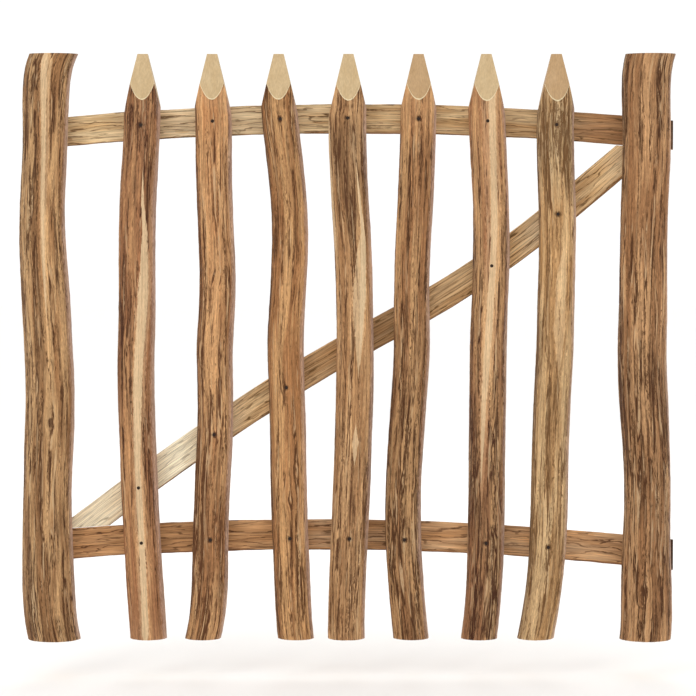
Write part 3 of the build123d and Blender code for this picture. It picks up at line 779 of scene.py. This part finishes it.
# Two of the cut points have darkened since they were cut
FRESH_CUT = fresh_cut_hazel("fresh_cut_hazel", "#B1956B", "#C7AF88")
SEASONED_CUT = fresh_cut_hazel("seasoned_cut_hazel", "#A4835A", "#BA9A73")
SEASONED_POINTS = ("picket_5", "picket_7")
SAWN_END = sawn_end_hazel("sawn_end_hazel")
SPLIT_BACK = split_hazel("split_hazel_backs", "#C9AC80", "#B08A5C", "#5E4124", "#94643F")
GALVANISED = galvanised_steel("galvanised_steel")
NAIL_STEEL = tarnished_nail_steel("tarnished_nail_steel")


# Poles


def turn_from_front(turn):
    """Angle round a pole, from its front line, to the right when seen from the front."""
    return (turn + math.pi / 2 + math.pi) % (2 * math.pi) - math.pi


def finish_piece(piece, node, body):
    start_fresh()
    piece.select_set(True)
    bpy.context.view_layer.objects.active = piece
    bpy.ops.object.shade_smooth_by_angle(angle=SMOOTH_ANGLE)
    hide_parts(node)
    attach(piece, body)


def round_pole(name, number, wood, look):
    """A peeled pole on its CAD node: grooved, flattened at the back, with a sawn top or a cut point."""
    low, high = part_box(name)
    pointed = name.startswith("picket")
    piece = divided_cylinder("hazel_" + name, POLE_SIDES, POLE_CUTS, low, high)
    point = SEASONED_CUT if name in SEASONED_POINTS else FRESH_CUT
    for material in (wood, point, SAWN_END, SPLIT_BACK):
        piece.data.materials.append(material)

    # Middle line and radius of the CAD pole at even heights
    inside = 0.5 * MM
    heights = np.linspace(low.z + inside, high.z - inside, POLE_SECTIONS)
    lowest, highest = sections(name, Z, heights)
    middle_x = (lowest[:, X] + highest[:, X]) / 2
    radius = (highest[:, X] - lowest[:, X]) / 2
    if pointed:
        below = heights < high.z - POINT_SHOULDER
        radius[~below] = radius[below][-1]
        lowest[~below, Y] = lowest[below, Y][-1]
    middle_y = lowest[:, Y] + radius

    points = mesh_points(piece.data)
    centre = (np.array(low) + np.array(high)) / 2
    turn = np.arctan2(points[:, Y] - centre[Y], points[:, X] - centre[X])
    height = points[:, Z]
    reach = np.interp(height, heights, radius)
    outward = np.stack([np.cos(turn), np.sin(turn)], 1)

    # Knots push the grain aside
    share = (height - FOOT_Z) / LEAF_HEIGHT
    front_turn = turn_from_front(turn)
    grain_turn = turn.copy()
    tone = np.zeros(len(height))
    for level, across, size in look["knots"]:
        side = (front_turn - math.asin(across)) * reach
        off = np.hypot(side, (share - level) * LEAF_HEIGHT / 2) / (size * MM)
        grain_turn -= KNOT_PUSH * np.exp(-(off**2)) * side / reach
        tone -= KNOT_DARK * smooth_step(0.5, 0.25, off)

    # Straightened wood: across, across and along, shifted so that no two poles are alike
    straight = np.stack([np.cos(grain_turn), np.sin(grain_turn)], 1)
    grain = np.column_stack([straight * reach[:, None], height + GRAIN_SHIFT * number])
    swell = marks(grain, SWELL[0], SWELL[1], 2)
    groove = smooth_step(0.05, 0.5, marks(grain, GROOVE[0], GROOVE[1], 3))
    fibre = marks(grain, FIBRE[0], FIBRE[1], 2)
    relief = swell * SWELL[2] - groove * GROOVE[2] + fibre * FIBRE[2]
    if pointed:
        below_point = smooth_step(high.z - POINT_SMOOTHED[0], high.z - POINT_SMOOTHED[1], height)
        relief *= POINT_RELIEF + (1 - POINT_RELIEF) * below_point
    reach = reach + relief

    # Stripes and patches: how far each point lies from the line, in half widths
    frayed = share + STRIPE_FRAY * swell
    tone += np.interp(frayed, *np.array(look["tones"][::-1]).T)
    for place, (strength, *line) in enumerate(look["stripes"]):
        levels, across, half_width = np.array(line[::-1]).T
        side = np.arcsin(np.interp(share, levels, across))
        width = np.interp(share, levels, half_width) * MM
        width *= smooth_step(levels[0] - STRIPE_TAPER, levels[0] + STRIPE_TAPER, frayed)
        width *= smooth_step(levels[-1] + STRIPE_TAPER, levels[-1] - STRIPE_TAPER, frayed)
        off = (front_turn - side) * reach / np.maximum(width, STRIPE_LEAST)
        keep_on_mesh(piece.data, f"stripe_{place}", "FLOAT", "value", off)

    # How far each point lies from the painted highlight down the right-hand side, in half widths
    side_highlight = np.abs(front_turn - HIGHLIGHT_TURN) * reach / HIGHLIGHT_HALF_WIDTH

    # Bent to the middle line, with a dimple round each nail whose wood is darkened as painted shade
    points[:, X] = np.interp(height, heights, middle_x) + outward[:, 0] * reach
    points[:, Y] = np.interp(height, heights, middle_y) + outward[:, 1] * reach
    for head in NAIL_HEADS:
        off = np.hypot(points[:, X] - head[X], points[:, Z] - head[Z])
        near = (off < DIMPLE_RADIUS + DIMPLE_RIM) & (outward[:, 1] < 0)
        pressed = 1 - smooth_step(DIMPLE_RADIUS, DIMPLE_RADIUS + DIMPLE_RIM, off[near])
        floor_y = head[Y] + NAIL_PROUD
        points[near, Y] += pressed * np.maximum(floor_y - points[near, Y], 0)
        # Painted shade in the dimple
        tone[near] -= pressed

    # The four planes of the point, and the rim along the front one
    top = Vector((middle_x[-1], middle_y[-1], high.z))
    facets = []
    rim = np.full(len(height), NO_RIM)
    if pointed:
        for outwards, angle in (
            (Vector((0, -1, 0)), POINT_FRONT_ANGLE),
            (Vector((0, 1, 0)), POINT_FRONT_ANGLE),
            (Vector((1, 0, 0)), POINT_SIDE_ANGLE),
            (Vector((-1, 0, 0)), POINT_SIDE_ANGLE),
        ):
            slope = outwards * math.cos(angle) + Vector((0, 0, math.sin(angle)))
            facets.append((top + outwards * POINT_TOP / 2, slope))
        place, slope = facets[0]
        rim = (points - np.array(place)) @ np.array(slope) / RIM

    piece.data.vertices.foreach_set("co", points.astype(np.float32).ravel())
    keep_on_mesh(piece.data, "grain", "FLOAT_VECTOR", "vector", grain)
    keep_on_mesh(piece.data, "disc", "FLOAT_VECTOR", "vector", np.column_stack([outward, 0 * height]))
    keep_on_mesh(piece.data, "groove", "FLOAT", "value", groove)
    keep_on_mesh(piece.data, "tone", "FLOAT", "value", tone)
    keep_on_mesh(piece.data, "rim", "FLOAT", "value", rim)
    keep_on_mesh(piece.data, "side_highlight", "FLOAT", "value", side_highlight)
    for face in piece.data.polygons:
        face.material_index = END_SLOT if abs(face.normal.z) > 0.9 else WOOD_SLOT

    plane_back(piece, RAIL_FACE_Y, BACK_SLOT)
    for place, slope in facets:
        cut_flat(piece, place, slope, CUT_SLOT)
    finish_piece(piece, name, "leaf")


# Each upright from left to right, its lists from the top down. Colours: brown, tan and dark. Tones: height
# share, and a tone from dark to pale. Stripes and patches: a tone, and a line of height share, place across
# from -1 to 1 and half width in millimetres. Knots: height share, place across and size in millimetres.
# Painted shade: a darker stripe down the left-hand side of a pole, turned away from the light
PAINTED_SHADE_LEFT = (-0.5, (1.0, -1.0, 12), (0.0, -1.0, 12))
UPRIGHTS = {
    "hinge_stile": {
        "colours": ("#8A633F", "#B48D62", "#4F3018"),
        "tones": (
            (0.98, -0.1), (0.94, 0.1), (0.9, 0.08), (0.8, -0.12), (0.6, -0.12), (0.45, 0.0),
            (0.2, 0.0), (0.05, -0.12),
        ),
        "stripes": (
            (-0.2, (1.0, -0.85, 21), (0.95, -0.78, 25), (0.7, -0.7, 28), (0.4, -0.72, 24), (0.0, -0.75, 22)),
            (-0.35, (1.0, -0.46, 6), (0.95, -0.21, 6), (0.75, -0.05, 6), (0.5, -0.1, 6), (0.4, -0.15, 1)),
            (-0.5, (0.18, -0.6, 1), (0.12, -0.6, 8), (0.04, -0.62, 9), (0.0, -0.6, 7)),
            (0.25, (1.0, 0.25, 20), (0.75, 0.4, 20), (0.5, 0.4, 16), (0.4, 0.4, 1)),
            (0.58, (1.0, -0.12, 10), (0.95, 0.05, 8), (0.83, 0.1, 6.5), (0.7, 0.12, 5), (0.58, 0.08, 2)),
            (0.85, (1.0, -0.2, 5.8), (0.95, 0.0, 4.3), (0.83, 0.06, 3), (0.7, 0.12, 2.4), (0.56, 0.08, 0.6)),
        ),
        "knots": ((0.375, 0.12, 9),),
    },
    "picket_1": {
        "colours": ("#885D3D", "#A87C54", "#4A2A17"),
        "tones": ((0.93, -0.08), (0.78, 0.0), (0.66, 0.15), (0.45, -0.05), (0.2, 0.3), (0.0, 0.45)),
        "stripes": (
            (
                0.55,
                (0.72, 0.5, 1), (0.61, 0.5, 13), (0.44, 0.25, 11),
                (0.3, 0.05, 8), (0.15, 0.0, 8), (0.0, -0.15, 8),
            ),
            (
                0.92,
                (0.8, 0.25, 0.5), (0.75, 0.33, 2.2), (0.7, 0.5, 4.2), (0.61, 0.42, 8),
                (0.44, 0.15, 6.5), (0.3, 0.0, 4.5), (0.15, 0.05, 5), (0.0, -0.1, 5),
            ),
        ),
        "knots": (),
    },
    "picket_2": {
        "colours": ("#9B6D46", "#BC8F62", "#5A361D"),
        "tones": (
            (0.92, 0.45), (0.88, 0.25), (0.84, 0.08), (0.75, 0.05), (0.62, 0.0), (0.5, -0.12),
            (0.35, -0.15), (0.2, -0.32), (0.1, -0.18), (0.0, -0.15),
        ),
        "stripes": (
            PAINTED_SHADE_LEFT,
            (0.25, (0.9, 0.0, 9), (0.6, -0.2, 11), (0.42, -0.1, 5)),
            (-1.2, (0.64, -0.1, 0.5), (0.632, -0.1, 1.6), (0.622, -0.2, 1.8), (0.606, -0.3, 0.5)),
        ),
        "knots": ((0.622, -0.2, 7),),
    },
    "picket_3": {
        "colours": ("#93663F", "#B3885B", "#56341A"),
        "tones": (
            (0.9, -0.08), (0.85, -0.15), (0.8, -0.12), (0.75, -0.05), (0.62, 0.2), (0.45, 0.12),
            (0.3, 0.18), (0.1, 0.15),
        ),
        "stripes": (PAINTED_SHADE_LEFT, (0.2, (0.6, 0.4, 8), (0.2, 0.3, 8))),
        "knots": ((0.24, 0.1, 9),),
    },
    "picket_4": {
        "colours": ("#98704A", "#BA9166", "#57361E"),
        "tones": (
            (0.93, 0.1), (0.9, 0.05), (0.86, -0.45), (0.8, -0.5), (0.75, -0.2), (0.68, 0.15),
            (0.4, 0.13), (0.2, -0.05), (0.1, 0.05), (0.0, 0.08),
        ),
        "stripes": (
            (-0.5, (0.9, 0.0, 1), (0.86, 0.0, 13), (0.77, 0.1, 14), (0.69, 0.0, 5), (0.66, -0.1, 0.5)),
            (0.75, (0.7, 0.5, 1), (0.66, 0.45, 8), (0.6, 0.3, 11), (0.54, 0.25, 9), (0.46, 0.2, 1)),
            (1.0, (0.8, 0.45, 0.6), (0.68, 0.6, 4), (0.6, 0.45, 5), (0.5, 0.3, 1)),
            (0.9, (0.9, -1.0, 4), (0.8, -0.97, 6), (0.66, -0.95, 4)),
            (0.8, (0.37, 0.1, 1), (0.34, 0.1, 5), (0.3, 0.1, 1)),
        ),
        "knots": (),
    },
    "picket_5": {
        "colours": ("#8E6440", "#B1885D", "#4D2E16"),
        "tones": (
            (0.92, 0.43), (0.88, 0.43), (0.84, 0.08), (0.75, 0.15), (0.6, 0.03), (0.5, -0.12),
            (0.3, -0.35), (0.12, -0.14), (0.0, -0.1),
        ),
        "stripes": (),
        "knots": (),
    },
    "picket_6": {
        "colours": ("#8C6140", "#B0875D", "#482916"),
        "tones": (
            (0.9, 0.3), (0.74, 0.18), (0.66, -0.18), (0.5, -0.15), (0.37, -0.25), (0.25, -0.4),
            (0.12, -0.12), (0.0, 0.0),
        ),
        "stripes": (
            (-0.4, (0.25, 0.4, 1), (0.16, 0.5, 9), (0.06, 0.55, 12), (0.0, 0.6, 13)),
            (0.5, (0.94, 0.2, 14), (0.68, 0.05, 12), (0.52, -0.05, 11), (0.42, -0.2, 9), (0.24, -0.3, 1)),
            (
                0.86,
                (0.94, 0.3, 6), (0.8, 0.2, 5), (0.68, 0.1, 5),
                (0.52, -0.08, 5.5), (0.4, -0.25, 4), (0.28, -0.35, 1),
            ),
        ),
        "knots": (),
    },
    "picket_7": {
        "colours": ("#A07A50", "#C3A175", "#6C4B2B"),
        "tones": (
            (0.93, -0.2), (0.9, -0.5), (0.84, -0.65), (0.74, 0.2), (0.64, 0.4), (0.5, -0.02),
            (0.25, -0.12), (0.0, 0.02),
        ),
        "stripes": (PAINTED_SHADE_LEFT, (0.6, (0.67, 0.3, 1), (0.62, 0.2, 8), (0.53, 0.15, 10), (0.46, 0.2, 1))),
        "knots": ((0.836, 0.55, 8),),
    },
    "latch_stile": {
        "colours": ("#8F6541", "#B58A60", "#4C2D15"),
        "tones": (
            (0.98, -0.16), (0.92, -0.12), (0.85, 0.06), (0.7, 0.05), (0.6, -0.03), (0.45, -0.38),
            (0.25, -0.32), (0.1, -0.08), (0.0, -0.05),
        ),
        "stripes": (PAINTED_SHADE_LEFT,),
        "knots": ((0.085, -0.2, 9),),
    },
}
for number, (upright, look) in enumerate(UPRIGHTS.items()):
    strengths = [stripe[0] for stripe in look["stripes"]]
    bark = peeled_hazel("peeled_hazel_" + upright, *look["colours"], strengths)
    round_pole(upright, number, bark, look)


# Rails and brace


def split_pole(name, number, wood, tints, reach_out):
    """A split rail or brace on its CAD node: torn flat face, round back, worn edges."""
    low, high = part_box(name)
    start, end = low.x - reach_out, high.x + reach_out
    corners = Vector((-1, -1, start)), Vector((1, 1, end))
    piece = divided_cylinder("hazel_" + name, RAIL_SIDES, RAIL_CUTS, *corners)
    for material in (wood, FRESH_CUT, SAWN_END):
        piece.data.materials.append(material)

    # The sections are read clear of the slanting ends, and the line runs on straight from there
    trim = BRACE_TRIM if reach_out > 0 else RAIL_TRIM
    places = np.linspace(low.x + trim, high.x - trim, RAIL_SECTIONS)
    lowest, highest = sections(name, X, places)
    middle_z = (lowest[:, Z] + highest[:, Z]) / 2
    half = (highest[:, Z] - lowest[:, Z]) / 2
    back = highest[:, Y] - RAIL_FACE_Y
    deep = back.max()

    points = mesh_points(piece.data)
    turn = np.arctan2(points[:, Y], points[:, X])
    along = points[:, Z]
    near, far = SLOPE_SECTIONS, -1 - SLOPE_SECTIONS
    slope_start = (middle_z[near] - middle_z[0]) / (places[near] - places[0])
    slope_end = (middle_z[-1] - middle_z[far]) / (places[-1] - places[far])
    line = np.interp(along, places, middle_z)
    line += np.minimum(along - places[0], 0) * slope_start + np.maximum(along - places[-1], 0) * slope_end
    half = np.interp(along, places, half)

    # The front half of the ring lies flat, the back half is an arc
    front = np.sin(turn) < 1e-6
    across = np.where(front, (np.pi / 2 + turn) / (np.pi / 2), np.cos(turn))
    across = np.clip(across, -1, 1)
    depth = np.where(front, 0, deep * np.sin(turn))
    grain = np.column_stack([across * half, depth, along + GRAIN_SHIFT * number + SPLIT_GRAIN_START])
    swell = marks(grain, SPLIT_SWELL[0], SPLIT_SWELL[1], 2)
    groove = smooth_step(0.18, 0.5, marks(grain, SPLIT_GROOVE[0], SPLIT_GROOVE[1], 3))
    fibre = marks(grain, SPLIT_FIBRE[0], SPLIT_FIBRE[1], 2)
    edge = smooth_step(0.75, 1.0, np.abs(across))
    worn = swell * SPLIT_SWELL[2] + fibre * SPLIT_FIBRE[2]
    across_place = across * half + np.sign(across) * worn * edge
    inward = FACE_INSET + groove * SPLIT_GROOVE[2] - fibre * FACE_FIBRE + edge * front * EDGE_WEAR
    depth_place = np.where(front, np.maximum(inward, 0), depth - swell * BACK_SWELL - groove * BACK_GROOVE)
    seat = np.interp(along, places, back)
    depth_place = np.where(front, depth_place, np.minimum(depth_place, seat))

    # Tint along the length; towards the lower edge brown bast with painted shade under the rail, and brown
    # bast on the back
    tint = np.interp((along - low.x) / (high.x - low.x), *np.array(tints).T) + 0.15 * swell
    under_edge_bast_and_shade = smooth_step(0.86, 1.0, -across + swell * 0.12)
    tone = np.where(front, np.minimum(tint, tint * (1 - under_edge_bast_and_shade) - 0.9 * under_edge_bast_and_shade), -0.75)

    points = np.column_stack([along, RAIL_FACE_Y + depth_place, line + across_place])
    piece.data.vertices.foreach_set("co", points.astype(np.float32).ravel())
    keep_on_mesh(piece.data, "grain", "FLOAT_VECTOR", "vector", grain)
    disc = np.column_stack([across, -depth / deep, 0 * along])
    keep_on_mesh(piece.data, "disc", "FLOAT_VECTOR", "vector", disc)
    keep_on_mesh(piece.data, "tone", "FLOAT", "value", tone)
    bpy.context.view_layer.objects.active = piece
    bpy.ops.object.mode_set(mode="EDIT")
    bpy.ops.mesh.select_all(action="SELECT")
    bpy.ops.mesh.normals_make_consistent(inside=False)
    bpy.ops.object.mode_set(mode="OBJECT")
    for face in piece.data.polygons:
        face.material_index = END_SLOT if len(face.vertices) > 4 else WOOD_SLOT
    return piece


def spot_faces(piece, rail):
    """Bores flat seats for the heads of the two stile screws into the back of a rail."""
    low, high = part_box(rail)
    points = mesh_points(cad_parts["stile_screws"].data)
    points = points[(points[:, Z] > low.z) & (points[:, Z] < high.z)]
    left = points[:, X] < points[:, X].mean()
    seat, past = RAIL_FACE_Y + SPOT_FACE_DEPTH, high.y + SPOT_FACE_ROOM
    bores = []
    for screw in (points[left], points[~left]):
        middle = (screw.min(0) + screw.max(0)) / 2
        start_fresh()
        bpy.ops.mesh.primitive_cylinder_add(
            vertices=BORE_SIDES,
            radius=(screw.max(0) - screw.min(0))[X] / 2 + SPOT_FACE_ROOM,
            depth=past - seat,
            location=(middle[X], (seat + past) / 2, middle[Z]),
            rotation=(math.pi / 2, 0, 0),
        )
        bpy.ops.object.transform_apply(location=True, rotation=True, scale=True)
        bores.append(bpy.context.object)
    bores[0].select_set(True)
    bpy.ops.object.join()
    bore = bpy.context.object
    bore.data.materials.append(FRESH_CUT)
    keep_on_mesh(bore.data, "grain", "FLOAT_VECTOR", "vector", mesh_points(bore.data)[:, [Z, Y, X]])
    cut = piece.modifiers.new("spot_faces", "BOOLEAN")
    cut.object = bore
    cut.material_mode = "TRANSFER"
    bpy.context.view_layer.objects.active = piece
    bpy.ops.object.modifier_apply(modifier=cut.name)
    bpy.data.objects.remove(bore)


UPPER_RAIL_WOOD = split_hazel("split_hazel_upper_rail", "#D8BC90", "#BB9768", "#5E4124", "#94643F")
LOWER_RAIL_WOOD = split_hazel("split_hazel_lower_rail", "#C8996A", "#A87A4F", "#553620", "#80573A")
BRACE_WOOD = split_hazel("split_hazel_brace", "#DDBB8C", "#C09868", "#60431F", "#835A36")

# Tints of the split faces from left to right: share of the length, and a tone: pale, brown or an end darkened
# by painted shade
UPPER_TINTS = (
    (0.0, 0.0), (0.12, 0.05), (0.22, 0.35), (0.45, 0.05), (0.62, -0.1), (0.78, -0.25),
    (0.88, -0.8), (0.975, -0.8), (0.985, -2.0), (1.0, -2.0),
)
LOWER_TINTS = (
    (0.0, 0.0), (0.15, -0.1), (0.38, 0.0), (0.44, 0.15), (0.54, 0.05), (0.6, 0.05),
    (0.97, 0.1), (0.985, -2.0), (1.0, -2.0),
)
BRACE_TINTS = (
    (0.0, 0.9), (0.1, 0.7), (0.2, 1.0), (0.25, 0.6), (0.32, 0.05), (0.42, -0.4), (0.53, -0.55),
    (0.62, -0.4), (0.68, -0.3), (0.75, -0.3), (0.82, 0.3), (0.9, -0.1), (1.0, 0.25),
)
RAILS = (
    ("upper_rail", UPPER_RAIL_WOOD, UPPER_TINTS, -UPPER_RAIL_SHORT),
    ("lower_rail", LOWER_RAIL_WOOD, LOWER_TINTS, 0),
)
for number, (rail, wood, tints, reach_out) in enumerate(RAILS):
    piece = split_pole(rail, number, wood, tints, reach_out)
    spot_faces(piece, rail)
    finish_piece(piece, rail, "leaf")

brace = split_pole("brace", 2, BRACE_WOOD, BRACE_TINTS, BRACE_REACH)
brace_low, brace_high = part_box("brace")
cut_flat(brace, (brace_low.x, 0, 0), (-1, 0, 0), CUT_SLOT)
cut_flat(brace, (brace_high.x, 0, 0), (1, 0, 0), CUT_SLOT)
for rail, near, far, up in (
    ("lower_rail", brace_low.x, brace_low.x + BRACE_CUT_RUN, -1),
    ("upper_rail", brace_high.x, brace_high.x - BRACE_CUT_RUN, 1),
):
    lowest, highest = sections(rail, X, (near, far))
    ends = lowest if up > 0 else highest
    run = Vector((far - near, 0, ends[1][Z] - ends[0][Z]))
    across = Vector((0, 1, 0)).cross(run).normalized()
    outwards = across if across.z * up > 0 else -across
    cut_flat(brace, (near, 0, ends[0][Z] - up * BRACE_CUT_ROOM), outwards, CUT_SLOT)
finish_piece(brace, "brace", "leaf")


# Nails, hinges and latch keep their CAD shapes
for node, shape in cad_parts.items():
    if node.endswith("_nails"):
        finish = NAIL_STEEL
    elif shape.hide_render:
        continue
    else:
        finish = GALVANISED
    shape.data.materials.clear()
    shape.data.materials.append(finish)


# Floor, light and camera
FLOOR_DROP = 60 * MM
FLOOR_MIDDLE = (0.5, 0, FOOT_Z - FLOOR_DROP)
start_fresh()
bpy.ops.mesh.primitive_circle_add(vertices=96, radius=14, fill_type="NGON", location=FLOOR_MIDDLE)
floor = bpy.context.object
floor.name = "floor"
floor_paint, tree = new_material("pale_floor_paint")
matt = shader_node(tree, "ShaderNodeBsdfPrincipled", {"Base Color": paint("#FBFAF8"), "Roughness": 0.9})
shader_node(tree, "ShaderNodeOutputMaterial", {"Surface": matt.outputs[0]})
floor.data.materials.append(floor_paint)

world = bpy.data.worlds.new("studio")
bpy.context.scene.world = world
world.use_nodes = True
world.node_tree.nodes["Background"].inputs["Color"].default_value = (1, 1, 1, 1)
world.node_tree.nodes["Background"].inputs["Strength"].default_value = 1.06

CAMERA_DISTANCE = 4.5
CAMERA_HEIGHT = 0.70
FRAME_WIDTH = 1.0715
SENSOR_WIDTH = 36.0
AIM = Vector((485.2 * MM, -75 * MM, FOOT_Z + 449.3 * MM))


def soft_light(name, place, size, power):
    bpy.ops.object.light_add(type="AREA", location=place)
    light = bpy.context.object
    light.name = name
    light.data.size = size
    light.data.energy = power
    light.rotation_euler = (AIM - Vector(place)).to_track_quat("-Z", "Y").to_euler()


soft_light("key_light", (-1.4, -2.8, 2.2), 1.6, 24)
soft_light("fill_light", (2.6, -2.6, 1.2), 2.0, 8)
soft_light("back_light", (0.6, 3.0, 2.4), 2.0, 20)

bpy.ops.object.camera_add()
camera = bpy.context.object
stand = Vector((AIM.x, AIM.y - CAMERA_DISTANCE, FOOT_Z + CAMERA_HEIGHT))
camera.location = stand
camera.rotation_euler = (AIM - stand).to_track_quat("-Z", "Y").to_euler()
camera.data.sensor_width = SENSOR_WIDTH
camera.data.lens = SENSOR_WIDTH * (AIM - stand).length / FRAME_WIDTH
bpy.context.scene.camera = camera
bpy.context.scene.view_settings.view_transform = "Standard"
